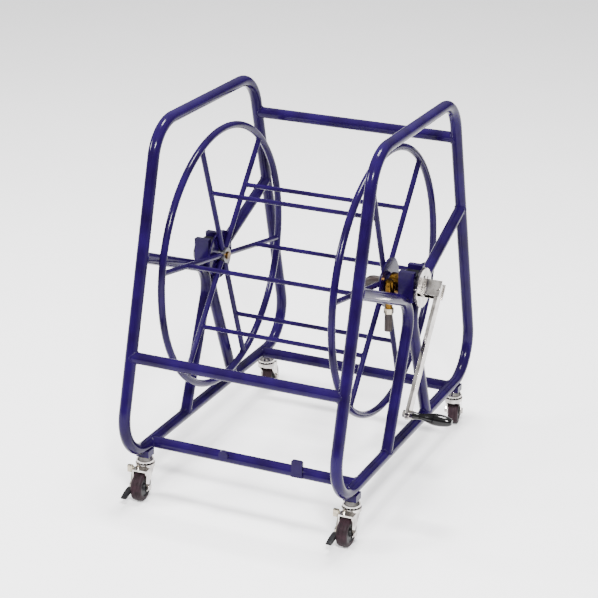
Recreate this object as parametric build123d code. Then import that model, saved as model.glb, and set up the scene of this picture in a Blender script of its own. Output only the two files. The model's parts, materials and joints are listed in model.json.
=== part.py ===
from build123d import *
import math
import os

# A hose reel cart of welded steel tube. The cart stands on the XY plane, its front faces -Y, and the
# hand crank is on the +X side. Everything is drawn about the mid-plane between the two side frames
# (x = 0) and is shifted sideways once, when it is written, so that the origin is under the middle
# of the whole cart, crank included.

# ---- frame tubes ----
tube_od = 25.4
tube_wall = 2.0
member_od = 25.0              # crossbars and hub supports, a little under the side tubes
side_spacing = 480.0          # between the centre planes of the two side frames
rail_height = 114.0           # centre of the bottom rails above the floor
loop_rise = 691.0             # bottom rail centre to top bar centre
base_half = 417.0             # sharp corner of the bottom rail from the middle
top_half = 225.5              # sharp corner of the top bar from the middle
bend_radius = 88.0
lower_front_bar_height = 339.5
top_rear_bar_drop = 90.5      # below the top bars
bottom_bar_offset = 276.0     # bottom crossbars from the middle

# ---- hub supports, saddles and bearings ----
hub_height = 456.0
support_corner_drop = 39.0    # sharp corner of a support below the hub axis
support_slope = 22.0          # fall of the upper arm, degrees
support_foot = 118.0          # foot of a support from the middle, on the rail centre line
support_bend = 65.0
weld_gap = 0.15
saddle_width = 34.0           # along the axle
saddle_post = 13.0            # post thickness along Y
bearing_wall = 3.0            # plastic between the axle and a post
saddle_base = 6.0
saddle_base_drop = 26.0       # underside of the saddle below the hub axis
saddle_top_rise = 40.0
bearing_top_rise = 30.0
bearing_clearance = 0.1

# ---- reel ----
ring_radius = 287.5
ring_rod = 16.0
spoke_rod = 12.0
bar_rod = 10.0
spoke_count = 6
spoke_angle = 50.3            # one spoke's direction from +Y, degrees
drum_radius = 170.0
axle_od = 34.0
axle_bore = 20.0
hub_plate_radius = 54.0
hub_plate_thick = 4.0
right_hub_gap = 32.0          # hub plate to saddle, room for the water inlet
left_hub_gap = 10.0
axle_stub_inner = 4.0         # how far an axle reaches past the spokes into the drum
end_collar_od = 48.0
end_collar_thick = 8.0
side_play = 0.5

# ---- water inlet and outlet ----
inlet_collar_od = 46.0
inlet_collar_width = 22.0
inlet_bore_clearance = 0.05
inlet_reach = 42.0            # column centre in front of the axle
inlet_column_od = 21.0
inlet_column_top = 23.0       # above the axle axis
inlet_hex_af = 24.0
inlet_hex_height = 14.0
inlet_nut_af = 19.0
inlet_nut_height = 12.0
inlet_tail_radius = 8.5
inlet_tail_bore = 5.0
inlet_tail_length = 40.0
inlet_tail_chamfer = 1.0
seal_section = 2.0
outlet_radius = 9.5
outlet_bend = 14.0
outlet_reach = 30.0
outlet_drop = 46.0

# ---- crank ----
crank_lean = -36.3            # turn of the hanging arm about the axle, degrees
crank_disc_radius = 43.0
crank_disc_thick = 6.0
crank_disc_gap = 6.0          # saddle to disc
yoke_base = 3.0
yoke_cheek = 3.0
yoke_height = 34.0
yoke_depth = 41.0
arm_width = 24.0
arm_thick = 8.0
arm_side_gap = 0.4
arm_radius = 272.0            # axle axis to grip axis
pin_radius = 2.5
pin_clearance = 0.06
pin_standoff = 34.0           # disc face to the fold pin's axis
grip_radius = 13.0
grip_length = 84.0
grip_neck_radius = 6.5
grip_gap = 8.0                # arm face to grip, filled by the spindle's washer
spindle_radius = 4.0
spindle_clearance = 0.06

# ---- casters ----
caster_half_base = 304.0      # swivel axes from the middle, along Y
wheel_radius = 31.5
wheel_width = 24.0
wheel_bolt_radius = 4.0
wheel_clearance = 0.06
caster_trail = 27.0
fork_inner = 27.0
fork_plate = 3.0
crown_bottom = 66.0
crown_top = 70.0
race_radius = 21.0
ball_radius = 2.0
ball_pitch = 15.0
ball_count = 14
ball_clearance = 0.05
lower_race_top = 76.9
kingpin_radius = 5.0
kingpin_clearance = 0.08
clamp_bottom = 93.0           # underside of the block welded under the rail
clamp_top = 108.0
clamp_half_width = 15.0
clamp_half_length = 13.0
pedal_plate = 2.8
pedal_gap = 0.3
pedal_reach = 55.0
pedal_tab_reach = 31.0

# swivel position of each caster at rest, degrees from a wheel that trails to the front
corners = {
    "front_left": (-1, -1, 5.0, True),
    "front_right": (1, -1, 0.0, True),
    "rear_left": (-1, 1, 185.0, False),
    "rear_right": (1, 1, 192.0, False),
}

# ---- derived places ----
side_x = side_spacing / 2
tube_r = tube_od / 2
member_r = member_od / 2
saddle_slot = axle_od + 2 * bearing_wall
top_height = rail_height + loop_rise
top_rear_bar_height = top_height - top_rear_bar_drop
saddle_inner = side_x - saddle_width / 2
saddle_outer = side_x + saddle_width / 2
right_plate_x = saddle_inner - right_hub_gap
right_ring_x = right_plate_x - hub_plate_thick - spoke_rod / 2
left_plate_x = -(saddle_inner - left_hub_gap)
left_ring_x = left_plate_x + hub_plate_thick + spoke_rod / 2
disc_x = saddle_outer + crank_disc_gap
disc_face = disc_x + crank_disc_thick
pin_x = disc_face + pin_standoff
arm_outer = pin_x + arm_thick / 2
grip_start = arm_outer + grip_gap
grip_end = grip_start + grip_length
hub = Vector(0, 0, hub_height)


def cylinder_x(radius, x0, x1, y=0.0, z=0.0):
    """Solid round bar along X from x0 to x1."""
    plane = Plane(origin=(x0, y, z), z_dir=(1, 0, 0))
    return extrude(plane * Circle(radius), x1 - x0)


def cylinder_z(radius, z0, z1, x=0.0, y=0.0):
    """Solid round bar along Z from z0 to z1."""
    return Pos(x, y, (z0 + z1) / 2) * Cylinder(radius, z1 - z0)


def hexagon_z(across_flats, z0, z1, x=0.0, y=0.0):
    """Hexagonal prism along Z from z0 to z1."""
    sketch = RegularPolygon(across_flats / 2, 6, major_radius=False, rotation=30)
    return Pos(x, y, z0) * extrude(sketch, z1 - z0)


def hexagon_x(across_flats, x0, x1, y, z):
    """Hexagonal prism along X from x0 to x1."""
    sketch = RegularPolygon(across_flats / 2, 6, major_radius=False)
    return extrude(Plane(origin=(x0, y, z), z_dir=(1, 0, 0)) * sketch, x1 - x0)


def box(x0, x1, y0, y1, z0, z1):
    """Rectangular block between two corners."""
    block = Box(x1 - x0, y1 - y0, z1 - z0)
    return Pos((x0 + x1) / 2, (y0 + y1) / 2, (z0 + z1) / 2) * block


def swept(points, radius, outer, inner=0.0):
    """Round bar or tube along straight runs joined by bends of one radius."""
    path = FilletPolyline(*points, radius=radius) if radius else Polyline(*points)
    start = Plane(origin=path @ 0, z_dir=path % 0)
    section = Circle(outer)
    if inner:
        section = section - Circle(inner)
    return sweep(start * section, path=path)


def around_hub(shape, degrees):
    """Turn a piece about the axle's axis."""
    return Pos(hub) * Rot(X=degrees) * Pos(-hub) * shape


# ---- side frames ----
def side_loop(x, inner):
    """One closed loop of bent tube, a trapezoid with round corners. Its weld is under the middle."""
    half = swept(
        [
            (x, 0, rail_height),
            (x, -base_half, rail_height),
            (x, -top_half, top_height),
            (x, 0, top_height),
        ],
        bend_radius,
        tube_r,
        inner,
    )
    return half + mirror(half, Plane.XZ)


def leg_offset(height):
    """Distance of a leg's centre line from the middle at a given height."""
    share = (height - rail_height) / loop_rise
    return base_half + (top_half - base_half) * share


loop_core = {1: side_loop(side_x, 0.0), -1: side_loop(-side_x, 0.0)}


def crossbar(y, z):
    """Tube between the two side frames, its ends coped to their tubes."""
    bar = cylinder_x(member_r, -side_x, side_x, y, z)
    bar = bar - cylinder_x(member_r - tube_wall, -side_x, side_x, y, z)
    return bar - loop_core[1] - loop_core[-1]


# ---- hub supports ----
# The upper arm falls from the leg to a sharp corner near the middle, and the lower leg runs from
# there to the rail. Where the two supports of a side stand back to back, their bends nearly touch.
corner_z = hub_height - support_corner_drop
arm_slope = math.tan(math.radians(support_slope))


def support_corner():
    """Sharp corner's distance past the middle, so that the bend just reaches the middle plane."""
    past = 0.0
    for _ in range(30):
        arm_angle = math.radians(180 - support_slope)
        leg_angle = math.atan2(-(corner_z - rail_height), -(support_foot + past))
        leg_angle = leg_angle % (2 * math.pi)
        half_turn = (leg_angle - arm_angle) / 2
        middle = (leg_angle + arm_angle) / 2
        reach = support_bend / math.sin(half_turn)
        centre = past + reach * math.cos(middle)
        past = past - (centre + support_bend + member_r + weld_gap)
    return past


corner_past = support_corner()


def support_points(x):
    """Front support: on the leg, at the sharp corner, on the rail."""
    leg_rate = (base_half - top_half) / loop_rise
    reach = base_half + corner_past - leg_rate * (corner_z - rail_height)
    run = reach / (1 + leg_rate * arm_slope)
    leg_z = corner_z + run * arm_slope
    return [
        (x, corner_past - run, leg_z),
        (x, corner_past, corner_z),
        (x, -support_foot, rail_height),
    ]


def support(side, inner):
    """Front support of one side."""
    return swept(support_points(side * side_x), support_bend, member_r, inner)


def saddle(side):
    """Upright U that carries a bearing block, seated on the two supports."""
    x0 = side * side_x - saddle_width / 2
    x1 = side * side_x + saddle_width / 2
    outer = saddle_slot / 2 + saddle_post
    bottom = hub_height - saddle_base_drop
    top = hub_height + saddle_top_rise
    block = box(x0, x1, -outer, outer, bottom, top)
    slot = box(x0 - 1, x1 + 1, -saddle_slot / 2, saddle_slot / 2, bottom + saddle_base, top + 1)
    front = support(side, 0.0)
    return block - slot - front - mirror(front, Plane.XZ)


def bearing(side):
    """Moulded block that fills the saddle's slot, bored for the axle."""
    x0 = side * side_x - saddle_width / 2
    x1 = side * side_x + saddle_width / 2
    bottom = hub_height - saddle_base_drop + saddle_base
    block = box(x0, x1, -saddle_slot / 2, saddle_slot / 2, bottom, hub_height + bearing_top_rise)
    return block - cylinder_x(axle_od / 2 + bearing_clearance, x0 - 1, x1 + 1, 0, hub_height)


# ---- lugs on the bottom front crossbar ----
round_lug_x = -60.0
round_lug_radius = 11.0
round_lug_rise = 9.0
square_lug_x = 110.0
square_lug_width = 25.0
square_lug_above = 20.0
square_lug_below = 6.0
lug_thick = 7.0
lug_bite = 3.0                # how far a lug's plate reaches over the front of the tube


def lug_plane(x, z):
    """Front face of a lug's plate."""
    front = -bottom_bar_offset - member_r + lug_bite - lug_thick
    return Plane(origin=(x, front, z), x_dir=(1, 0, 0), z_dir=(0, -1, 0))


def round_lug(bar):
    """Round boss on the front of the crossbar."""
    plane = lug_plane(round_lug_x, rail_height + round_lug_rise)
    return extrude(plane * Circle(round_lug_radius), -lug_thick) - bar


def square_lug(bar):
    """Upright plate with round top corners on the front of the crossbar."""
    height = square_lug_below + member_r + square_lug_above
    middle = rail_height - square_lug_below + height / 2
    face = lug_plane(square_lug_x, middle) * Rectangle(square_lug_width, height)
    plate = extrude(face, -lug_thick)
    corners_up = plate.edges().filter_by(Axis.Y).group_by(Axis.Z)[-1]
    return fillet(corners_up, square_lug_width / 6) - bar


# ---- reel ----
spoke_turns = [spoke_angle + 360.0 / spoke_count * i for i in range(spoke_count)]


def wheel_ring(x):
    """Outer ring of a reel flange, one round bar rolled and closed."""
    section = Plane(origin=(x, ring_radius, hub_height), z_dir=(0, 0, 1)) * Circle(ring_rod / 2)
    return revolve(section, Axis((x, 0, hub_height), (1, 0, 0)), 360)


def spokes(x, cut):
    """Six straight rods from the axle to the ring."""
    rod = Plane(origin=(x, 0, hub_height), z_dir=(0, 1, 0)) * Circle(spoke_rod / 2)
    plain = extrude(rod, ring_radius)
    axle = cylinder_x(axle_od / 2, x - spoke_rod, x + spoke_rod, 0, hub_height)
    plain = plain - axle - cut
    return [around_hub(plain, turn) for turn in spoke_turns]


def drum_bars():
    """Six rods that join the two flanges, each between a pair of spokes."""
    bar = cylinder_x(bar_rod / 2, left_ring_x, right_ring_x, drum_radius, hub_height)
    for x in (left_ring_x, right_ring_x):
        rod = Plane(origin=(x, 0, hub_height), z_dir=(0, 1, 0)) * Circle(spoke_rod / 2)
        bar = bar - extrude(rod, ring_radius)
    return [around_hub(bar, turn) for turn in spoke_turns]


def hub_plate(x0):
    """Round plate outside the spokes, with the axle through it."""
    plate = cylinder_x(hub_plate_radius, x0, x0 + hub_plate_thick, 0, hub_height)
    return plate - cylinder_x(axle_od / 2, x0 - 1, x0 + hub_plate_thick + 1, 0, hub_height)


left_axle_in = left_ring_x + spoke_rod / 2 + axle_stub_inner
left_axle_out = -(saddle_outer + side_play + end_collar_thick)
right_axle_in = right_ring_x - spoke_rod / 2 - axle_stub_inner
inlet_centre = saddle_inner - right_hub_gap / 2
plug_radius = 8.0
plug_thick = 4.0
port_radius = 4.0


def left_axle():
    """Left stub axle, a thick tube open only at its inner end."""
    bar = cylinder_x(axle_od / 2, left_axle_out, left_axle_in, 0, hub_height)
    return bar - cylinder_x(axle_bore / 2, left_plate_x, left_axle_in + 1, 0, hub_height)


def left_plug():
    """Brass plug in the inner end of the left stub axle."""
    seat = cylinder_x(axle_bore / 2, left_axle_in - plug_thick, left_axle_in, 0, hub_height)
    return seat + cylinder_x(plug_radius, left_axle_in, left_axle_in + plug_thick, 0, hub_height)


def end_collar():
    """Collar that keeps the left axle in its bearing."""
    x1 = -(saddle_outer + side_play)
    x0 = x1 - end_collar_thick
    ring = cylinder_x(end_collar_od / 2, x0, x1, 0, hub_height)
    return ring - cylinder_x(axle_od / 2, x0 - 1, x1 + 1, 0, hub_height)


def right_axle():
    """Right stub axle, hollow from the drum to the inlet and solid in the bearing."""
    bar = cylinder_x(axle_od / 2, right_axle_in, disc_x, 0, hub_height)
    bar = bar - cylinder_x(axle_bore / 2, right_axle_in - 1, inlet_centre + port_radius, 0, hub_height)
    port = cylinder_z(port_radius, hub_height - axle_od, hub_height + axle_od, inlet_centre, 0)
    return bar - port


def outlet_elbow():
    """Brass elbow inside the drum that the hose is pushed onto."""
    inner = right_axle_in - outlet_reach
    body = swept(
        [
            (right_axle_in, 0, hub_height),
            (inner, 0, hub_height),
            (inner, 0, hub_height - outlet_drop),
        ],
        outlet_bend,
        outlet_radius,
        inlet_tail_bore,
    )
    spigot = cylinder_x(axle_bore / 2, right_axle_in, right_axle_in + 10, 0, hub_height)
    spigot = spigot - cylinder_x(inlet_tail_bore, right_axle_in, right_axle_in + 10, 0, hub_height)
    return body + spigot


# ---- water inlet ----
column_y = -inlet_reach
inlet_branch_radius = 7.0
hex_top = hub_height - 7.5
hex_bottom = hex_top - inlet_hex_height
nut_top = hub_height - 41.0
inlet_neck_radius = 8.0
nut_bottom = nut_top - inlet_nut_height
tail_bottom = nut_bottom - inlet_tail_length
groove_offset = 6.0


def inlet_collar():
    """Brass collar that turns on the hollow axle and brings the water to its ports."""
    x0 = inlet_centre - inlet_collar_width / 2
    x1 = inlet_centre + inlet_collar_width / 2
    body = cylinder_x(inlet_collar_od / 2, x0, x1, 0, hub_height)
    branch = Plane(origin=(inlet_centre, 0, hub_height), z_dir=(0, -1, 0))
    branch = branch * Circle(inlet_branch_radius)
    body = body + extrude(branch, inlet_reach - inlet_column_od / 2 + 0.5)
    body = body - cylinder_z(inlet_column_od / 2, 0, 2 * hub_height, inlet_centre, column_y)
    way = Plane(origin=(inlet_centre, 0, hub_height), z_dir=(0, -1, 0)) * Circle(4.0)
    body = body - extrude(way, inlet_reach)
    body = body - cylinder_x(axle_od / 2 + inlet_bore_clearance, x0 - 1, x1 + 1, 0, hub_height)
    for x in (inlet_centre - groove_offset, inlet_centre + groove_offset):
        groove = cylinder_x(axle_od / 2 + seal_section, x - 1.5, x + 1.5, 0, hub_height)
        body = body - groove
    return body


def inlet_seals():
    """Two rubber rings in the collar's grooves."""
    rings = []
    for x in (inlet_centre - groove_offset, inlet_centre + groove_offset):
        centre_r = axle_od / 2 + seal_section / 2 + 0.02
        start = Plane(origin=(x, centre_r, hub_height), z_dir=(0, 0, 1))
        section = start * Circle(seal_section / 2 - 0.02)
        rings.append(revolve(section, Axis((x, 0, hub_height), (1, 0, 0)), 360))
    return rings


def inlet_column():
    """Upright brass body in front of the axle, domed on top, with a hexagon for the spanner."""
    top = hub_height + inlet_column_top
    radius = inlet_column_od / 2
    body = cylinder_z(radius, hex_top - 1, top, inlet_centre, column_y)
    body = chamfer(body.edges().group_by(Axis.Z)[-1], radius * 0.45)
    body = body + hexagon_z(inlet_hex_af, hex_bottom, hex_top, inlet_centre, column_y)
    body = body + cylinder_z(inlet_neck_radius, nut_top, hex_bottom, inlet_centre, column_y)
    bore = cylinder_z(inlet_tail_bore, nut_top - 1, hub_height + 5, inlet_centre, column_y)
    way = Plane(origin=(inlet_centre, 0, hub_height), z_dir=(0, -1, 0)) * Circle(4.0)
    return body - bore - extrude(way, inlet_reach)


def inlet_nut():
    """Union nut between the column and the hose tail."""
    nut = hexagon_z(inlet_nut_af, nut_bottom, nut_top, inlet_centre, column_y)
    return nut - cylinder_z(inlet_tail_bore, nut_bottom - 1, nut_top + 1, inlet_centre, column_y)


def inlet_tail():
    """Plain tail that the supply hose is pushed onto."""
    shank = cylinder_z(inlet_tail_radius, tail_bottom, nut_bottom, inlet_centre, column_y)
    shank = chamfer(shank.edges().group_by(Axis.Z)[0], inlet_tail_chamfer)
    bore = cylinder_z(inlet_tail_bore, tail_bottom - 1, nut_bottom + 1, inlet_centre, column_y)
    return shank - bore


# ---- crank ----
slot_height = 27.0
slot_depth = 15.0
slot_width = 4.0
stop_hole = (20.0, 17.0, 3.0)


def crank_disc():
    """Plated disc on the axle's end, with a hooked slot and a stop hole near its rim."""
    disc = cylinder_x(crank_disc_radius, disc_x, disc_face, 0, hub_height)
    x0 = disc_x - 1
    x1 = disc_face + 1
    top = hub_height + slot_height
    stem = box(x0, x1, 1.0, 1.0 + slot_width, top - slot_depth, top)
    hook = box(x0, x1, -6.0, 1.0 + slot_width, top - slot_width, top)
    y, z, radius = stop_hole
    hole = cylinder_x(radius, x0, x1, y, hub_height + z)
    disc = chamfer(disc.edges().filter_by(GeomType.CIRCLE), 1.0)
    return disc - stem - hook - hole


def crank_yoke():
    """Clevis on the disc: a base plate and two cheeks that hold the fold pin."""
    half = arm_width / 2 + arm_side_gap
    outer = half + yoke_cheek
    x1 = disc_face + yoke_depth
    z0 = hub_height - yoke_height / 2
    z1 = hub_height + yoke_height / 2
    body = box(disc_face, x1, -outer, outer, z0, z1)
    gap = box(disc_face + yoke_base, x1 + 1, -half, half, z0 - 1, z1 + 1)
    body = body - gap
    hole = Pos(pin_x, 0, hub_height) * Rot(X=90) * Cylinder(pin_radius, 3 * outer)
    return around_hub(body - hole, crank_lean)


pin_head_radius = 5.0
pin_head_thick = 2.5


def fold_pin():
    """Headed pin through the yoke's cheeks."""
    outer = arm_width / 2 + arm_side_gap + yoke_cheek
    shank = Rot(X=90) * Cylinder(pin_radius, 2 * outer)
    for side in (-1, 1):
        place = Pos(0, side * (outer + pin_head_thick / 2), 0) * Rot(X=90)
        shank = shank + place * Cylinder(pin_head_radius, pin_head_thick)
    return around_hub(Pos(pin_x, 0, hub_height) * shank, crank_lean)


def crank_arm():
    """Flat bar that hangs from the fold pin, with round ends and the spindle's hole."""
    blank = box(arm_outer - arm_thick, arm_outer, -arm_width / 2, arm_width / 2, -arm_radius, 0)
    top = cylinder_x(arm_width / 2, arm_outer - arm_thick, arm_outer, 0, 0)
    foot = cylinder_x(arm_width / 2, arm_outer - arm_thick, arm_outer, 0, -arm_radius)
    arm = blank + top + foot
    knuckle = Rot(X=90) * Cylinder(pin_radius + pin_clearance, 2 * arm_width)
    arm = arm - Pos(pin_x, 0, 0) * knuckle
    eye = cylinder_x(spindle_radius, arm_outer - arm_thick - 1, arm_outer + 1, 0, -arm_radius)
    return around_hub(Pos(0, 0, hub_height) * (arm - eye), crank_lean)


spindle_nut_af = 14.0
spindle_nut_thick = 7.0
spindle_washer_radius = 9.0
spindle_end_gap = 8.0
grip_z = hub_height - arm_radius


def grip_spindle():
    """Spindle fixed in the arm, with the shoulder that spaces the grip off."""
    start = arm_outer - arm_thick - spindle_nut_thick
    shank = cylinder_x(spindle_radius, start, grip_end - spindle_end_gap, 0, grip_z)
    shoulder = cylinder_x(spindle_washer_radius, arm_outer, grip_start - 0.3, 0, grip_z)
    return around_hub(shank + shoulder, crank_lean)


def spindle_nut():
    """Nut on the inner end of the spindle."""
    end = arm_outer - arm_thick
    nut = hexagon_x(spindle_nut_af, end - spindle_nut_thick, end, 0, grip_z)
    nut = nut - cylinder_x(spindle_radius, end - spindle_nut_thick - 1, end + 1, 0, grip_z)
    return around_hub(nut, crank_lean)


def grip():
    """Turned handle: narrow neck, full belly and a rounded end."""
    with BuildSketch(Plane.XY) as half:
        with BuildLine():
            base = Line((grip_start, 0), (grip_start, grip_neck_radius + 1.5))
            Spline(
                base @ 1,
                (grip_start + grip_length * 0.06, grip_neck_radius),
                (grip_start + grip_length * 0.24, grip_neck_radius + 0.6),
                (grip_start + grip_length * 0.58, grip_radius),
                (grip_start + grip_length * 0.86, grip_radius * 0.74),
                (grip_end, grip_radius * 0.32),
                tangents=((0.7, -0.7), (0.2, -1.0)),
            )
            Line((grip_end, grip_radius * 0.32), (grip_end, 0))
            Line((grip_end, 0), (grip_start, 0))
        make_face()
    body = revolve(half.sketch, Axis.X, 360)
    bore_end = grip_end - spindle_end_gap + 0.5
    body = body - cylinder_x(spindle_radius + spindle_clearance, grip_start - 1, bore_end, 0, 0)
    return around_hub(Pos(0, 0, grip_z) * body, crank_lean)


# ---- casters, drawn with the swivel axis on Z and the wheel trailing to the front ----
fork_half = fork_inner / 2
bolt_half = fork_half + fork_plate
bolt_head_af = 13.0
bolt_head_thick = 4.0


def rail_clamp(side_x_sign, end_sign):
    """Small block under the rail, hollowed to its tube."""
    x = side_x_sign * side_x
    y = end_sign * caster_half_base
    block = box(
        x - clamp_half_width,
        x + clamp_half_width,
        y - clamp_half_length,
        y + clamp_half_length,
        clamp_bottom,
        clamp_top,
    )
    return block - loop_core[side_x_sign]


def upper_race():
    """Fixed race of the swivel, domed, with the kingpin riveted under the fork's crown."""
    flange_bottom = lower_race_top + 2 * (ball_radius + ball_clearance)
    outline = [
        (0, crown_bottom - 4.0),
        (8.0, crown_bottom - 4.0),
        (8.0, crown_bottom - 0.8),
        (kingpin_radius, crown_bottom - 0.8),
        (kingpin_radius, flange_bottom),
        (race_radius - 1.5, flange_bottom),
        (race_radius - 1.5, flange_bottom + 3.0),
        (15.0, clamp_bottom),
        (0, clamp_bottom),
    ]
    sketch = make_face(Plane.XZ * Polyline(*outline, close=True))
    return revolve(sketch, Axis.Z, 360)


def race_balls():
    """Ring of balls between the two races."""
    middle = lower_race_top + ball_radius + ball_clearance
    ball = Pos(ball_pitch, 0, middle) * Sphere(ball_radius)
    return [Rot(Z=360.0 / ball_count * i) * ball for i in range(ball_count)]


crown_front = -32.0
crown_back = 14.0
leg_foot = 9.0


def fork():
    """Pressed fork: lower race, crown and two legs down to the wheel's bolt."""
    race = cylinder_z(race_radius, crown_top, lower_race_top)
    race = race - cylinder_z(ball_pitch - 4.0, crown_top + 1.5, lower_race_top + 1)
    crown = box(-bolt_half, bolt_half, crown_front, crown_back, crown_bottom, crown_top)
    outline = [
        (crown_back - 4.0, crown_bottom + 1.0),
        (crown_front, crown_bottom + 1.0),
        (crown_front - 2.0, wheel_radius + 8.0),
        (-caster_trail - leg_foot * 0.6, wheel_radius - leg_foot),
        (-caster_trail + leg_foot * 0.6, wheel_radius - leg_foot),
        (-caster_trail + leg_foot + 3.0, wheel_radius + 8.0),
    ]
    body = race + crown
    for x in (-bolt_half, fork_half):
        plane = Plane(origin=(x, 0, 0), x_dir=(0, 1, 0), z_dir=(1, 0, 0))
        face = make_face(plane * Polyline(*outline, close=True))
        body = body + extrude(face, fork_plate)
    body = body - cylinder_z(kingpin_radius + kingpin_clearance, 0, 100)
    bolt_way = cylinder_x(wheel_bolt_radius, -50, 50, -caster_trail, wheel_radius)
    return body - bolt_way


def wheel():
    """Solid rubber wheel with rounded shoulders and short hub bosses."""
    half = wheel_width / 2
    tread = cylinder_x(wheel_radius, -half, half, -caster_trail, wheel_radius)
    tread = fillet(tread.edges().filter_by(GeomType.CIRCLE), 4.5)
    for side in (-1, 1):
        dish = cylinder_x(21.0, side * half, side * (half - 2.5), -caster_trail, wheel_radius)
        tread = tread - dish
    boss_half = fork_half - 0.3
    tread = tread + cylinder_x(8.0, -boss_half, boss_half, -caster_trail, wheel_radius)
    bore = wheel_bolt_radius + wheel_clearance
    return tread - cylinder_x(bore, -50, 50, -caster_trail, wheel_radius)


def wheel_bolt(braked):
    """Bolt with its head on the left and its nut on the right."""
    left = bolt_half + (pedal_plate + 2 * pedal_gap if braked else 0.0)
    y = -caster_trail
    shank = cylinder_x(wheel_bolt_radius, -left, bolt_half, y, wheel_radius)
    head = hexagon_x(bolt_head_af, -left - bolt_head_thick, -left, y, wheel_radius)
    nut = hexagon_x(bolt_head_af, bolt_half, bolt_half + bolt_head_thick + 2, y, wheel_radius)
    return shank + head + nut


def brake_pedal():
    """Bell-crank plate beside the fork: foot in front, locking tab at the top."""
    x1 = -(bolt_half + pedal_gap)
    x0 = x1 - pedal_plate
    y = -caster_trail
    foot_y = y - pedal_reach
    eye = cylinder_x(8.5, x0, x1, y, wheel_radius)
    front_arm = box(x0, x1, foot_y, y, wheel_radius - 8.0, wheel_radius + 1.0)
    foot = box(x0 - 4.0, x1 + 12.0, foot_y, foot_y + 17.0, wheel_radius - 9.0, wheel_radius + 1.0)
    back_arm = box(x0, x1, y + 1.0, y + 9.0, wheel_radius, wheel_radius + 42.0)
    tab = box(-pedal_tab_reach, x0 + 0.5, y + 1.0, y + 9.0, wheel_radius + 28.0, wheel_radius + 44.0)
    pedal = eye + front_arm + foot + back_arm + tab
    bore = wheel_bolt_radius + wheel_clearance
    return pedal - cylinder_x(bore, x0 - 1, x1 + 1, y, wheel_radius)


# ---- assembly ----
def build():
    """Every node's shape, drawn about the mid-plane."""
    core = tube_r - tube_wall
    nodes = {}
    nodes["left_side_frame"] = side_loop(-side_x, core)
    nodes["right_side_frame"] = side_loop(side_x, core)
    nodes["lower_front_crossbar"] = crossbar(-leg_offset(lower_front_bar_height), lower_front_bar_height)
    nodes["bottom_front_crossbar"] = crossbar(-bottom_bar_offset, rail_height)
    nodes["bottom_rear_crossbar"] = crossbar(bottom_bar_offset, rail_height)
    nodes["top_rear_crossbar"] = crossbar(leg_offset(top_rear_bar_height), top_rear_bar_height)
    for name, side in (("left", -1), ("right", 1)):
        front = support(side, member_r - tube_wall) - loop_core[side]
        nodes[name + "_front_support"] = front
        nodes[name + "_rear_support"] = mirror(front, Plane.XZ)
        nodes[name + "_saddle"] = saddle(side)
        nodes[name + "_bearing_block"] = bearing(side)
    bar = cylinder_x(member_r, -side_x, side_x, -bottom_bar_offset, rail_height)
    nodes["round_lug"] = round_lug(bar)
    nodes["square_lug"] = square_lug(bar)

    nodes["left_ring"] = wheel_ring(left_ring_x)
    nodes["right_ring"] = wheel_ring(right_ring_x)
    nodes["left_spokes"] = spokes(left_ring_x, nodes["left_ring"])
    nodes["right_spokes"] = spokes(right_ring_x, nodes["right_ring"])
    nodes["drum_bars"] = drum_bars()
    nodes["left_hub_plate"] = hub_plate(left_plate_x)
    nodes["right_hub_plate"] = hub_plate(right_plate_x - hub_plate_thick)
    nodes["left_stub_axle"] = left_axle()
    nodes["left_axle_plug"] = left_plug()
    nodes["left_end_collar"] = end_collar()
    nodes["right_stub_axle"] = right_axle()
    nodes["outlet_elbow"] = outlet_elbow()

    nodes["inlet_collar"] = inlet_collar()
    nodes["inlet_seals"] = inlet_seals()
    nodes["inlet_column"] = inlet_column()
    nodes["inlet_nut"] = inlet_nut()
    nodes["inlet_hose_tail"] = inlet_tail()

    nodes["crank_disc"] = crank_disc()
    nodes["crank_yoke"] = crank_yoke()
    nodes["crank_fold_pin"] = fold_pin()
    nodes["crank_arm"] = crank_arm()
    nodes["grip_spindle"] = grip_spindle()
    nodes["spindle_nut"] = spindle_nut()
    nodes["grip"] = grip()

    clamps = []
    balls = []
    for name, (x_sign, y_sign, turn, braked) in corners.items():
        place = Pos(x_sign * side_x, y_sign * caster_half_base, 0)
        clamps.append(rail_clamp(x_sign, y_sign))
        balls += [place * ball for ball in race_balls()]
        nodes[name + "_upper_race"] = place * upper_race()
        turned = place * Rot(Z=turn)
        nodes[name + "_fork"] = turned * fork()
        nodes[name + "_wheel"] = turned * wheel()
        nodes[name + "_wheel_bolt"] = turned * wheel_bolt(braked)
        if braked:
            nodes[name + "_brake_pedal"] = turned * brake_pedal()
    nodes["caster_clamps"] = clamps
    nodes["caster_balls"] = balls
    return nodes


def joined(shape):
    """One shape for a node, also when it is a list of separate pieces."""
    if isinstance(shape, list):
        return Compound(children=[Solid(piece.solids()[0].wrapped) for piece in shape])
    return shape


os.makedirs("parts", exist_ok=True)
cart = {node: joined(shape) for node, shape in build().items()}
left_end = min(shape.bounding_box().min.X for shape in cart.values())
right_end = max(shape.bounding_box().max.X for shape in cart.values())
to_middle = Pos(-(left_end + right_end) / 2, 0, 0)
for node, shape in cart.items():
    export_step(to_middle * shape, f"parts/{node}.step")
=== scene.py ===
import json
import math
import random
import bmesh
import bpy
from mathutils import Matrix, Vector


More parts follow.
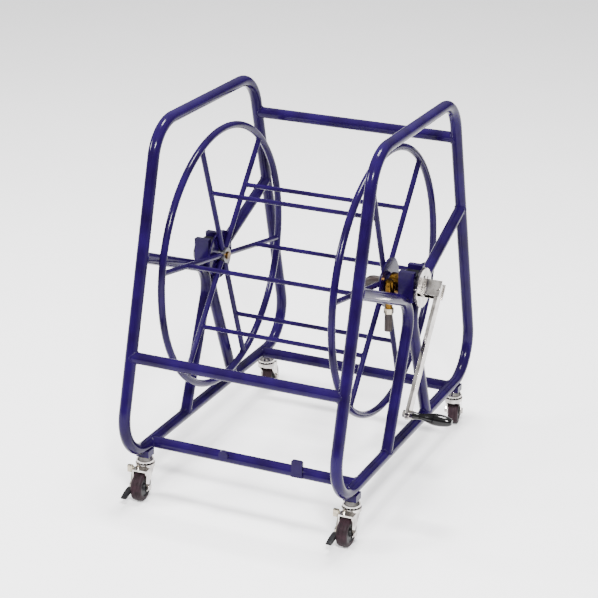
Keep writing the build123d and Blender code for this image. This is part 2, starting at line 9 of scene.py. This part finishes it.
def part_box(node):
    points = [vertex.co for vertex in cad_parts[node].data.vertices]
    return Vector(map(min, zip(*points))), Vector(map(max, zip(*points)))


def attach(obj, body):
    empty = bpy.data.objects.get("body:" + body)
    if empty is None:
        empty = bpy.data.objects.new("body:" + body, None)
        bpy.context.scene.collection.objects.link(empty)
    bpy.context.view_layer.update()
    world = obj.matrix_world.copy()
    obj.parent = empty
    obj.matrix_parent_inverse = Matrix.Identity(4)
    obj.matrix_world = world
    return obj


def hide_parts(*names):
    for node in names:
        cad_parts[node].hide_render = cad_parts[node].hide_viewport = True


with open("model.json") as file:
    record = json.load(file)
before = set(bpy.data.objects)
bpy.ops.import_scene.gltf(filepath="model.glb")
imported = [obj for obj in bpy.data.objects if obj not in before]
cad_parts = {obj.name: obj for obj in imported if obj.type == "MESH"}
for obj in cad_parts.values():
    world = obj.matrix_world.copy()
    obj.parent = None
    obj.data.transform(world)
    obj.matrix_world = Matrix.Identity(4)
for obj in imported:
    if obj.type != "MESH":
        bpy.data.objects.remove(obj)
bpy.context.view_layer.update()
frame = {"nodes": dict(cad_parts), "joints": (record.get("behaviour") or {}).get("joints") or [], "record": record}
nodes = frame["nodes"]
joints = {joint["name"]: joint for joint in frame["joints"]}
mm = 0.001
print("frame loaded:", len(nodes), "CAD nodes")


# places read from the frame, in metres
def middle(node):
    low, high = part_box(node)
    return (low + high) / 2


def thickness(node, axis):
    low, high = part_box(node)
    return high[axis] - low[axis]


corners = ["front_left", "front_right", "rear_left", "rear_right"]
framePlane = {"left": middle("left_side_frame").x, "right": middle("right_side_frame").x}
outward = {"left": -1, "right": 1}
midX = (framePlane["left"] + framePlane["right"]) / 2
tubeRadius = thickness("left_side_frame", 0) / 2
memberRadius = thickness("bottom_front_crossbar", 2) / 2
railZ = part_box("left_side_frame")[0].z + tubeRadius
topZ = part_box("left_side_frame")[1].z - tubeRadius
hub = Vector(joints["reel_turn"]["pos_m"])
axleRadius = thickness("left_stub_axle", 1) / 2


# materials
def toLinear(hexColour):
    values = [int(hexColour[i:i + 2], 16) / 255 for i in (1, 3, 5)]
    linear = [v / 12.92 if v <= 0.04045 else ((v + 0.055) / 1.055) ** 2.4 for v in values]
    return (*linear, 1.0)


def addNode(tree, kind, settings=None, links=None):
    node = tree.nodes.new(kind)
    for name, value in (settings or {}).items():
        if name == "stops":  # a colour ramp's two places and hex colours
            for stop, (position, hexColour) in zip(node.color_ramp.elements, value):
                stop.position = position
                stop.color = toLinear(hexColour)
        elif name in node.inputs:
            node.inputs[name].default_value = value
        else:
            setattr(node, name, value)
    for name, source in (links or {}).items():
        tree.links.new(source, node.inputs[name])
    return node


def startMaterial(name, shaderSettings):
    material = bpy.data.materials.new(name)
    material.use_nodes = True
    tree = material.node_tree
    tree.nodes.clear()
    shader = addNode(tree, "ShaderNodeBsdfPrincipled", shaderSettings)
    addNode(tree, "ShaderNodeOutputMaterial", {}, {"Surface": shader.outputs["BSDF"]})
    place = addNode(tree, "ShaderNodeTexCoord")
    return material, tree, shader, place.outputs["Object"]


# Wide patches decide the colour and the gloss, and a finer relief raises the surface. Each pattern
# has a real size, and its scale is how many of it fit in a metre.
def finishSurface(tree, shader, place, look, patches, relief):
    spread = {"Scale": 1000.0 / patches["sizeMm"], "Detail": patches["detail"]}
    cloud = addNode(tree, "ShaderNodeTexNoise", spread, {"Vector": place}).outputs["Fac"]
    spread = {"Scale": 1000.0 / relief["sizeMm"], "Detail": relief["detail"]}
    grain = addNode(tree, "ShaderNodeTexNoise", spread, {"Vector": place}).outputs["Fac"]
    stops = [(0.3, look["dark"]), (0.7, look["light"])]
    tint = addNode(tree, "ShaderNodeValToRGB", {"stops": stops}, {"Fac": cloud})
    low, high = look["roughness"]
    gloss = addNode(tree, "ShaderNodeMapRange", {"To Min": low, "To Max": high}, {"Value": cloud})
    raised = {"Strength": relief["strength"], "Distance": relief["depthMm"] * mm}
    bump = addNode(tree, "ShaderNodeBump", raised, {"Height": grain})
    tree.links.new(tint.outputs["Color"], shader.inputs["Base Color"])
    tree.links.new(gloss.outputs["Result"], shader.inputs["Roughness"])
    tree.links.new(bump.outputs["Normal"], shader.inputs["Normal"])


def makeEnamel():
    # Stove enamel sprayed on steel tube: a thick glossy coat with a faint orange peel, so the
    # highlights are thin and bright and their edges wander a little.
    enamel = {
        "dark": "#0f0426",
        "light": "#17073a",
        "roughness": (0.12, 0.2),
    }
    patches = {"sizeMm": 60.0, "detail": 3.0}
    peel = {"sizeMm": 2.4, "detail": 2.0, "strength": 0.25, "depthMm": 0.02}
    material, tree, shader, place = startMaterial(
        "violet stove enamel",
        {
            "Metallic": 0.0,
            "IOR": 1.5,
            "Specular IOR Level": 0.1,
            "Coat Weight": 0.04,
            "Coat Roughness": 0.04,
            "Coat IOR": 1.45,
        },
    )
    finishSurface(tree, shader, place, enamel, patches, peel)
    return material


def makePlating(name, settings):
    # Plated steel: what the plating is decides the tint, what is under it decides the haze.
    material, tree, shader, place = startMaterial(name, {"Metallic": 1.0})
    haze = {"sizeMm": settings["hazeMm"], "detail": 4.0}
    grain = {"sizeMm": settings["grainMm"], "detail": 2.0, "strength": settings["bump"], "depthMm": 0.02}
    finishSurface(tree, shader, place, settings, haze, grain)
    return material


def makeMoulded(name, settings):
    # Moulded plastic or rubber: the tool's surface shows as a fine grain and a soft, uneven gloss.
    material, tree, shader, place = startMaterial(
        name, {"Metallic": 0.0, "IOR": settings["ior"], "Specular IOR Level": settings["shine"]})
    cloud = {"sizeMm": settings["cloudMm"], "detail": 3.0}
    grain = {"sizeMm": settings["grainMm"], "detail": 3.0, "strength": settings["bump"], "depthMm": 0.05}
    finishSurface(tree, shader, place, settings, cloud, grain)
    return material


finishes = {
    "violet_enamel": makeEnamel(),
    # bright nickel over pressed steel: warm silver, almost a mirror, hazy in patches
    "bright_plating": makePlating("bright nickel plate", {
        "dark": "#8b8682",
        "light": "#cfcac5",
        "roughness": (0.05, 0.14),
        "hazeMm": 18.0,
        "grainMm": 1.5,
        "bump": 0.15,
    }),
    # dull zinc plate: greyer and warmer, with a soft spangle
    "zinc_plating": makePlating("passivated zinc plate", {
        "dark": "#8d8473",
        "light": "#b5ad9c",
        "roughness": (0.22, 0.36),
        "hazeMm": 8.0,
        "grainMm": 1.0,
        "bump": 0.3,
    }),
    # turned mild steel, lightly oiled: dark grey with a broad shine
    "axle_steel": makePlating("turned mild steel", {
        "dark": "#4a494c",
        "light": "#68676b",
        "roughness": (0.26, 0.4),
        "hazeMm": 10.0,
        "grainMm": 0.8,
        "bump": 0.3,
    }),
    # hardened balls: clean polished steel
    "bearing_steel": makePlating("polished bearing steel", {
        "dark": "#b9babd",
        "light": "#d6d7da",
        "roughness": (0.06, 0.12),
        "hazeMm": 4.0,
        "grainMm": 1.0,
        "bump": 0.0,
    }),
    # machined brass that has darkened with handling: brown gold, duller in patches
    "brass": makePlating("machined brass", {
        "dark": "#2e200d",
        "light": "#70521f",
        "roughness": (0.16, 0.3),
        "hazeMm": 9.0,
        "grainMm": 0.8,
        "bump": 0.25,
    }),
    # acetal bearing blocks, wheel cores and brake feet: black, waxy, hardly any gloss
    "black_plastic": makeMoulded("black acetal", {
        "dark": "#08080a",
        "light": "#111014",
        "roughness": (0.38, 0.52),
        "cloudMm": 12.0,
        "grainMm": 0.7,
        "bump": 0.3,
        "ior": 1.48,
        "shine": 0.25,
    }),
    # hose tail and outlet elbow: brown-black nylon with a slight sheen
    "dark_fitting": makeMoulded("brown black nylon", {
        "dark": "#1a1211",
        "light": "#2b201e",
        "roughness": (0.3, 0.45),
        "cloudMm": 8.0,
        "grainMm": 0.8,
        "bump": 0.25,
        "ior": 1.53,
        "shine": 0.3,
    }),
    # nitrile seal rings: black and soft
    "seal_rubber": makeMoulded("black nitrile rubber", {
        "dark": "#0d0d0e",
        "light": "#161617",
        "roughness": (0.5, 0.65),
        "cloudMm": 5.0,
        "grainMm": 0.6,
        "bump": 0.2,
        "ior": 1.52,
        "shine": 0.2,
    }),
    # solid rubber tyres: dark, warm grey brown, dull and patchy where they roll
    "tyre_rubber": makeMoulded("grey solid rubber", {
        "dark": "#120a0d",
        "light": "#2a1b21",
        "roughness": (0.45, 0.68),
        "cloudMm": 14.0,
        "grainMm": 1.2,
        "bump": 0.5,
        "ior": 1.52,
        "shine": 0.12,
    }),
    # crank handle: polished black phenolic, deep gloss
    "grip_plastic": makeMoulded("polished black phenolic", {
        "dark": "#020203",
        "light": "#050506",
        "roughness": (0.10, 0.18),
        "cloudMm": 20.0,
        "grainMm": 2.0,
        "bump": 0.08,
        "ior": 1.6,
        "shine": 0.22,
    }),
}
slotOf = {entry["node"]: entry["material_slot"] for entry in frame["record"]["subparts"]}
for name, node in nodes.items():
    node.data.materials.clear()
    node.data.materials.append(finishes[slotOf[name]])
print("materials assigned:", len(finishes))


# pieces
def finishPiece(name, mesh, body, slotName, smoothAngle=35.0):
    piece = bpy.data.objects.new(name, mesh)
    bpy.context.scene.collection.objects.link(piece)
    mesh.materials.append(finishes[slotName])
    mesh.polygons.foreach_set("use_smooth", [True] * len(mesh.polygons))
    mesh.set_sharp_from_angle(angle=math.radians(smoothAngle))
    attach(piece, body)
    return piece


def toMesh(name, build):
    bmesh.ops.recalc_face_normals(build, faces=build.faces[:])
    mesh = bpy.data.meshes.new(name)
    build.to_mesh(mesh)
    build.free()
    return mesh


# A weld run: a thin round bead laid along a closed line, swelling and shrinking as the welder moved.
weld = {
    "bead": 2.0 * mm,
    "smallBead": 1.3 * mm,
    "ripple": 0.16,
    "jitter": 0.06,
    "pitch": 4.0 * mm,
    "steps": 64,
    "sides": 8,
    "aside": Vector((0.31, 0.77, 0.55)),  # no tube of the cart runs this way
    "smooth": 60,
}


# the seed sets a bead's ripple, so beads laid with different seeds ripple differently
def addBead(build, line, radius, seed):
    sides = weld["sides"]
    rng = random.Random(seed)
    phase = rng.uniform(0, 2 * math.pi)
    count = len(line)
    length = 0.0
    rings = []
    for i in range(count):
        here, before, after = line[i], line[i - 1], line[(i + 1) % count]
        length += (here - before).length
        along = (after - before).normalized()
        side = along.cross(weld["aside"]).normalized()
        up = along.cross(side)
        wave = math.sin(2 * math.pi * length / weld["pitch"] + phase)
        swell = 1 + weld["ripple"] * wave + rng.uniform(-weld["jitter"], weld["jitter"])
        ring = []
        for k in range(sides):
            turn = 2 * math.pi * k / sides
            out = side * math.cos(turn) + up * math.sin(turn)
            ring.append(build.verts.new(here + out * radius * swell))
        rings.append(ring)
    for i in range(count):
        near, far = rings[i], rings[(i + 1) % count]
        # the ring's start may have turned between two places, so the nearest corner is matched
        offset = min(range(sides), key=lambda s: (near[0].co - far[s].co).length)
        for k in range(sides):
            a, b = near[k], near[(k + 1) % sides]
            c, d = far[(k + 1 + offset) % sides], far[(k + offset) % sides]
            build.faces.new((a, b, c, d))


# a circle about the reel's axle
def ringAround(centre, radius, steps=48):
    turns = [2 * math.pi * i / steps for i in range(steps)]
    return [centre + Vector((0, radius * math.cos(t), radius * math.sin(t))) for t in turns]


sideLoop = {"baseHalf": 417.0 * mm, "topHalf": 225.5 * mm, "rise": 691.0 * mm}  # its sharp corners
legBase = Vector((0, -sideLoop["baseHalf"], railZ))
legTop = Vector((0, -sideLoop["topHalf"], topZ))
legDirection = {"front": (legTop - legBase).normalized()}
legDirection["rear"] = Vector((0, -legDirection["front"].y, legDirection["front"].z))
railDirection = Vector((0, 1, 0))


def crossbarLine(node, side, along):
    # where a crossbar's end meets the side tube, whose direction is along
    centre = middle(node)
    across = along.cross(Vector((1, 0, 0))).normalized()
    points = []
    for i in range(weld["steps"]):
        turn = 2 * math.pi * i / weld["steps"]
        offset = Vector((0, math.cos(turn), math.sin(turn))) * memberRadius
        lean = offset.dot(across)
        reach = math.sqrt(tubeRadius ** 2 - lean ** 2)
        x = framePlane[side] - outward[side] * reach
        points.append(Vector((x, centre.y + offset.y, centre.z + offset.z)))
    return points


def endLine(tip, along, against):
    # where a tube that runs along meets another in the same plane, at the sharp crossing tip
    sideways = Vector((1, 0, 0))
    normal = along.cross(sideways).normalized()
    across = against.cross(sideways).normalized()
    if across.dot(along) < 0:
        across = -across
    points = []
    for i in range(weld["steps"]):
        turn = 2 * math.pi * i / weld["steps"]
        offset = (sideways * math.cos(turn) + normal * math.sin(turn)) * memberRadius
        depth = math.sqrt(tubeRadius ** 2 - offset.x ** 2)
        travel = (-depth - offset.dot(across)) / along.dot(across)
        points.append(tip + offset + along * travel)
    return points


crossbars = {
    "lower_front_crossbar": legDirection["front"],
    "bottom_front_crossbar": railDirection,
    "bottom_rear_crossbar": railDirection,
    "top_rear_crossbar": legDirection["rear"],
}
build = bmesh.new()
for index, (node, along) in enumerate(crossbars.items()):
    for side in ("left", "right"):
        addBead(build, crossbarLine(node, side, along), weld["bead"], index)
finishPiece("crossbar_welds", toMesh("crossbar_welds", build), "frame", "violet_enamel", weld["smooth"])

# The supports' own lines, repeated from the solids: slope of the upper arm, foot, and sharp corner.
support = {"slope": 22.0, "foot": 118.0 * mm, "cornerDrop": 39.0 * mm, "cornerPast": 7.5 * mm}
cornerZ = hub.z - support["cornerDrop"]
build = bmesh.new()
for side, x in framePlane.items():
    for end in (-1, 1):
        slope = math.tan(math.radians(support["slope"]))
        corner = Vector((x, -end * support["cornerPast"], cornerZ))
        rate = (sideLoop["baseHalf"] - sideLoop["topHalf"]) / sideLoop["rise"]
        reach = sideLoop["baseHalf"] + support["cornerPast"] - rate * (cornerZ - railZ)
        run = reach / (1 + rate * slope)
        armTip = Vector((x, corner.y + end * run, cornerZ + run * slope))
        footTip = Vector((x, end * support["foot"], railZ))
        leg = legDirection["front" if end < 0 else "rear"]
        armLine = endLine(armTip, (armTip - corner).normalized(), leg)
        footLine = endLine(footTip, (footTip - corner).normalized(), railDirection)
        addBead(build, armLine, weld["bead"], end + 5)
        addBead(build, footLine, weld["bead"], end + 9)
finishPiece("support_welds", toMesh("support_welds", build), "frame", "violet_enamel", weld["smooth"])

# The reel's rods: spokes into the rings, drum bars onto the spokes, plates round the axles.
reel = {
    "ringRadius": 287.5 * mm,
    "ringRod": 8.0 * mm,
    "spokeRod": 6.0 * mm,
    "barRod": 5.0 * mm,
    "drumRadius": 170.0 * mm,
    "firstSpoke": 50.3,
    "spokes": 6,
    "steps": 32,
}
ringPlane = {"left": middle("left_ring").x, "right": middle("right_ring").x}
xAxis = Vector((1, 0, 0))
build = bmesh.new()
for side, x in ringPlane.items():
    for spoke in range(reel["spokes"]):
        turn = math.radians(reel["firstSpoke"] + 360 / reel["spokes"] * spoke)
        radial = Vector((0, math.cos(turn), math.sin(turn)))
        tangent = Vector((0, -math.sin(turn), math.cos(turn)))
        centre = Vector((x, hub.y, hub.z))
        rim, drum = [], []
        for i in range(reel["steps"]):
            angle = 2 * math.pi * i / reel["steps"]
            sideStep = reel["spokeRod"] * math.cos(angle)
            tangentStep = reel["spokeRod"] * math.sin(angle)
            depth = math.sqrt(reel["ringRod"] ** 2 - sideStep ** 2)
            rimCentre = centre + radial * (reel["ringRadius"] - depth)
            rim.append(rimCentre + xAxis * sideStep + tangent * tangentStep)
            barTangent = reel["barRod"] * math.sin(angle)
            inward = -outward[side] * math.sqrt(reel["spokeRod"] ** 2 - barTangent ** 2)
            outFrom = reel["drumRadius"] + reel["barRod"] * math.cos(angle)
            drum.append(centre + radial * outFrom + tangent * barTangent + xAxis * inward)
        addBead(build, rim, weld["smallBead"], spoke + 20)
        addBead(build, drum, weld["smallBead"], spoke + 40)
    plateNode = side + "_hub_plate"
    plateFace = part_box(plateNode)[1 if side == "right" else 0].x
    plateRing = ringAround(Vector((plateFace, hub.y, hub.z)), axleRadius + weld["bead"] / 2)
    addBead(build, plateRing, weld["bead"], 70)
finishPiece("reel_welds", toMesh("reel_welds", build), "reel", "violet_enamel", weld["smooth"])
print("welds laid")


# Crisp pressed and moulded edges on the solids kept from the frame: their radius in millimetres.
edgeRadius = {
    "left_saddle": 1.2, "right_saddle": 1.2, "left_bearing_block": 1.0, "right_bearing_block": 1.0,
    "round_lug": 1.0, "square_lug": 1.2, "caster_clamps": 1.2, "crank_yoke": 0.5, "crank_arm": 0.9,
    "left_hub_plate": 0.8, "right_hub_plate": 0.8, "left_end_collar": 0.8, "inlet_nut": 0.5,
    "inlet_column": 0.4, "inlet_collar": 0.5, "spindle_nut": 0.4, "crank_fold_pin": 0.4,
    "grip_spindle": 0.4,
}
for corner in corners:
    edgeRadius[corner + "_fork"] = 0.6
    edgeRadius[corner + "_upper_race"] = 0.7
    edgeRadius[corner + "_wheel_bolt"] = 0.4


def roundEdges(piece, radiusMm, segments=2):
    weldBack = piece.modifiers.new("join corners", "WELD")
    weldBack.merge_threshold = 0.002 * mm
    edges = piece.modifiers.new("edge radius", "BEVEL")
    edges.width = radiusMm * mm
    edges.segments = segments
    edges.limit_method = "ANGLE"
    edges.angle_limit = math.radians(40)
    edges.use_clamp_overlap = True
    edges.harden_normals = False
    even = piece.modifiers.new("even shading", "WEIGHTED_NORMAL")
    even.keep_sharp = False


for name, radiusMm in edgeRadius.items():
    roundEdges(nodes[name], radiusMm)
print("edges rounded:", len(edgeRadius))


# wheels: a solid rubber tyre moulded over a nylon core
def addTurned(build, profile, centre, axis, steps=96):
    # profile is a closed line of (along the axis, radius) in millimetres
    axis = axis.normalized()
    first = axis.cross(Vector((0, 0, 1)))
    first = first.normalized() if first.length > 0.01 else Vector((1, 0, 0))
    second = axis.cross(first)
    rows = []
    for i in range(steps):
        turn = 2 * math.pi * i / steps
        out = first * math.cos(turn) + second * math.sin(turn)
        places = [centre + axis * (along * mm) + out * (radius * mm) for along, radius in profile]
        rows.append([build.verts.new(point) for point in places])
    for i in range(steps):
        near, far = rows[i], rows[(i + 1) % steps]
        for k in range(len(profile)):
            n = (k + 1) % len(profile)
            build.faces.new((near[k], near[n], far[n], far[k]))


def mirrored(halfProfile, between=()):
    return halfProfile + list(between) + [(-along, radius) for along, radius in reversed(halfProfile)]


# half outlines from the side to the middle, (along the bolt, radius) in millimetres
tyreHalf = [(11.4, 21.6), (11.95, 22.4), (12.0, 25.5), (11.6, 27.8), (10.4, 29.7), (8.2, 30.9)]
tyreHalf += [(5.4, 31.3), (4.6, 31.3), (4.2, 30.8), (3.6, 30.8), (3.2, 31.45)]
tyreMiddle = (0.0, 31.5)
coreHalf = [(13.1, 4.2), (13.2, 7.4), (12.8, 8.0), (10.0, 9.0), (9.6, 10.2), (9.5, 17.5)]
coreHalf += [(9.9, 19.4), (11.4, 20.6), (11.4, 21.5)]
for corner in corners:
    roll = joints[corner + "_roll"]
    centre, axis = Vector(roll["pos_m"]), Vector(roll["axis"])
    build = bmesh.new()
    addTurned(build, mirrored(tyreHalf, [tyreMiddle]), centre, axis)
    tyreMesh = toMesh(corner + "_tyre", build)
    tyre = finishPiece(corner + "_tyre", tyreMesh, corner + "_wheel", "tyre_rubber")
    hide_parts(corner + "_wheel")
    build = bmesh.new()
    addTurned(build, mirrored(coreHalf), centre, axis)
    coreMesh = toMesh(corner + "_wheel_core", build)
    finishPiece(corner + "_wheel_core", coreMesh, corner + "_wheel", "black_plastic")


# brake levers: a zinc plated bell crank with a black foot
def addPlate(build, outline, near, far, place, axis, ahead, bevelMm):
    # outline is (ahead, up) in millimetres from place; near and far are along the axis
    up = Vector((0, 0, 1))
    sheets = []
    for aside in (near, far):
        start = place + axis * (aside * mm)
        sheets.append([build.verts.new(start + ahead * (a * mm) + up * (z * mm)) for a, z in outline])
    faces = [build.faces.new(sheets[0]), build.faces.new(list(reversed(sheets[1])))]
    for k in range(len(outline)):
        n = (k + 1) % len(outline)
        faces.append(build.faces.new((sheets[0][n], sheets[0][k], sheets[1][k], sheets[1][n])))
    edges = list({edge for face in faces for edge in face.edges})
    bmesh.ops.bevel(
        build,
        geom=edges,
        offset=bevelMm * mm,
        segments=2,
        profile=0.5,
        affect="EDGES",
        clamp_overlap=True,
    )


def arc(ahead, up, radius, start, end, steps=8):
    angles = [math.radians(start + (end - start) * i / steps) for i in range(steps + 1)]
    return [(ahead + radius * math.cos(a), up + radius * math.sin(a)) for a in angles]


# millimetres from the wheel bolt: near and far are along it, the rest ahead of it or above it
brake = {
    "plateNear": -16.8,
    "plateFar": -19.6,
    "footNear": -10.0,
    "footFar": -22.5,
    "tabFar": -31.0,
    "eye": 8.5,
    "foot": (14.0, 55.0),
    "tabUp": (28.0, 44.0),
    "back": (-9.0, -1.0),
}
for corner in ("front_left", "front_right"):
    roll = joints[corner + "_roll"]
    centre, axis = Vector(roll["pos_m"]), Vector(roll["axis"])
    ahead = axis.cross(Vector((0, 0, 1)))
    ahead = ahead if (centre - Vector(joints[corner + "_swivel"]["pos_m"])).dot(ahead) > 0 else -ahead
    body = corner + "_brake"
    build = bmesh.new()
    crank = [(20.0, -4.5), (20.0, 1.5), (10.0, 3.5)]
    crank += arc(-5.0, 38.0, 4.0, 0, 180) + arc(0, 0, brake["eye"], 170, 285)
    addPlate(build, crank, brake["plateNear"], brake["plateFar"], centre, axis, ahead, 0.4)
    low, high = brake["tabUp"]
    back, front = brake["back"]
    tab = [(back, low), (front, low), (front, high), (back, high)]
    addPlate(build, tab, brake["plateFar"] + 0.3, brake["tabFar"], centre, axis, ahead, 0.8)
    leverMesh = toMesh(corner + "_brake_lever", build)
    lever = finishPiece(corner + "_brake_lever", leverMesh, body, "zinc_plating")
    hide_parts(corner + "_brake_pedal")
    build = bmesh.new()
    rear, tip = brake["foot"]
    foot = [(rear, -3.5), (tip - 5, -8.9), (tip, -8.2), (tip - 1, -4.6)]
    foot += [(tip - 16, -0.6), (rear + 8, 3.0), (rear, 2.4)]
    addPlate(build, foot, brake["footNear"], brake["footFar"], centre, axis, ahead, 1.0)
    footMesh = toMesh(corner + "_brake_foot", build)
    finishPiece(corner + "_brake_foot", footMesh, body, "black_plastic")
print("wheels and brakes built")


# crank handle, in millimetres: a slim neck, a full belly past the middle and a round end
handle = {
    "length": 84.0,
    "neck": 6.5,
    "shoulder": 8.0,
    "belly": 13.0,
    "end": 4.2,
    "neckAt": 14.0,
    "bellyAt": 50.0,
    "bore": 4.06,
    "boreShort": 7.5,  # the bore stops this far inside the end
    "closed": 0.02,  # radius left where the outline meets the axis
    "steps": 44,
}
spin = joints["grip_spin"]


def easeBetween(start, stop, share):
    return start + (stop - start) * (1 - math.cos(math.pi * share)) / 2


def handleRadius(along):
    if along < handle["neckAt"]:
        return easeBetween(handle["shoulder"], handle["neck"], along / handle["neckAt"])
    if along < handle["bellyAt"]:
        share = (along - handle["neckAt"]) / (handle["bellyAt"] - handle["neckAt"])
        return easeBetween(handle["neck"], handle["belly"], share)
    share = (along - handle["bellyAt"]) / (handle["length"] - handle["bellyAt"])
    return handle["end"] + (handle["belly"] - handle["end"]) * math.sqrt(max(0.0, 1 - share ** 2))


outline = [(0.0, handle["bore"])]
for i in range(handle["steps"] + 1):
    along = handle["length"] * math.sin(math.pi / 2 * i / handle["steps"])
    outline.append((along, handleRadius(along)))
boreEnd = handle["length"] - handle["boreShort"]
outline += [(handle["length"], handle["closed"]), (boreEnd, handle["closed"]), (boreEnd, handle["bore"])]
build = bmesh.new()
addTurned(build, outline, Vector(spin["pos_m"]), Vector(spin["axis"]))
grip = finishPiece("crank_handle", toMesh("crank_handle", build), "grip", "grip_plastic")
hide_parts("grip")
print("crank handle turned")


# camera, floor and light
camera = {
    "place": (midX + 1540.9 * mm, -3484.8 * mm, 1856.2 * mm),
    "azimuth": 24.12,
    "elevation": 21.11,
    "roll": 0.635,
    "lens": 113.1,
    "farthest": 100.0,  # metres, past the far edge of the floor
}
lensData = bpy.data.cameras.new("camera")
lensData.lens = camera["lens"]
lensData.sensor_width = 36.0
lensData.clip_end = camera["farthest"]
cameraObject = bpy.data.objects.new("camera", lensData)
bpy.context.scene.collection.objects.link(cameraObject)
turnMatrix = (
    Matrix.Rotation(math.radians(camera["azimuth"]), 4, "Z")
    @ Matrix.Rotation(math.radians(90 - camera["elevation"]), 4, "X")
    @ Matrix.Rotation(math.radians(camera["roll"]), 4, "Z")
)
cameraObject.matrix_world = Matrix.Translation(Vector(camera["place"])) @ turnMatrix
bpy.context.scene.camera = cameraObject

studio = {
    "floorHalf": 30.0,  # metres
    "floorDark": "#f4f3f4",
    "floorLight": "#f6f5f6",
    "floorGlow": 0.22,
    "mottle": 3.0,  # patches to the metre
    "wallHex": "#6e6e74",
    "wallTop": 0.12,  # heights as shares of the way from level to straight up
    "ceilingHex": "#ffffff",
    "ceilingFrom": 0.62,
    "worldStrength": 1.1,
    "aimHeight": 0.45,  # metres, about the middle of the cart
}
build = bmesh.new()
half = studio["floorHalf"]
floorCorners = [(-half, -half), (half, -half), (half, half), (-half, half)]
build.faces.new([build.verts.new((x, y, 0)) for x, y in floorCorners])
floor = bpy.data.objects.new("studio_floor", toMesh("studio_floor", build))
bpy.context.scene.collection.objects.link(floor)
# seamless paper with light behind it: matt, nearly white, and its shadows stay pale
paper, tree, shader, place = startMaterial(
    "white seamless paper",
    {
        "Roughness": 0.9,
        "Specular IOR Level": 0.1,
        "Emission Color": toLinear("#ffffff"),
        "Emission Strength": studio["floorGlow"],
    },
)
mottle = addNode(tree, "ShaderNodeTexNoise", {"Scale": studio["mottle"]}, {"Vector": place})
shades = {"stops": [(0.3, studio["floorDark"]), (0.7, studio["floorLight"])]}
floorTint = addNode(tree, "ShaderNodeValToRGB", shades, {"Fac": mottle.outputs["Fac"]})
tree.links.new(floorTint.outputs["Color"], shader.inputs["Base Color"])
floor.data.materials.append(paper)

world = bpy.data.worlds.new("studio")
bpy.context.scene.world = world
world.use_nodes = True
# a grey room with a bright ceiling, so that plated metal has something darker to mirror
sky = world.node_tree
across = addNode(sky, "ShaderNodeTexCoord")
height = addNode(sky, "ShaderNodeSeparateXYZ", {}, {"Vector": across.outputs["Generated"]})
shades = {"stops": [(studio["wallTop"], studio["wallHex"]), (studio["ceilingFrom"], studio["ceilingHex"])]}
room = addNode(sky, "ShaderNodeValToRGB", shades, {"Fac": height.outputs["Z"]})
sky.links.new(room.outputs["Color"], sky.nodes["Background"].inputs["Color"])
sky.nodes["Background"].inputs["Strength"].default_value = studio["worldStrength"]

lights = {
    "key": {"place": (1.6, -3.2, 3.4), "size": 0.7, "power": 420.0},
    "fill": {"place": (-3.4, -1.6, 2.2), "size": 0.8, "power": 160.0},
    "top": {"place": (0.0, 0.4, 4.2), "size": 1.0, "power": 340.0},
}
for name, light in lights.items():
    lamp = bpy.data.lights.new(name, "AREA")
    lamp.size = light["size"]
    lamp.energy = light["power"]
    lampObject = bpy.data.objects.new(name, lamp)
    bpy.context.scene.collection.objects.link(lampObject)
    aim = Vector((0, 0, studio["aimHeight"])) - Vector(light["place"])
    lampObject.location = light["place"]
    lampObject.rotation_euler = aim.to_track_quat("-Z", "Y").to_euler()
print("camera, floor and lights placed")
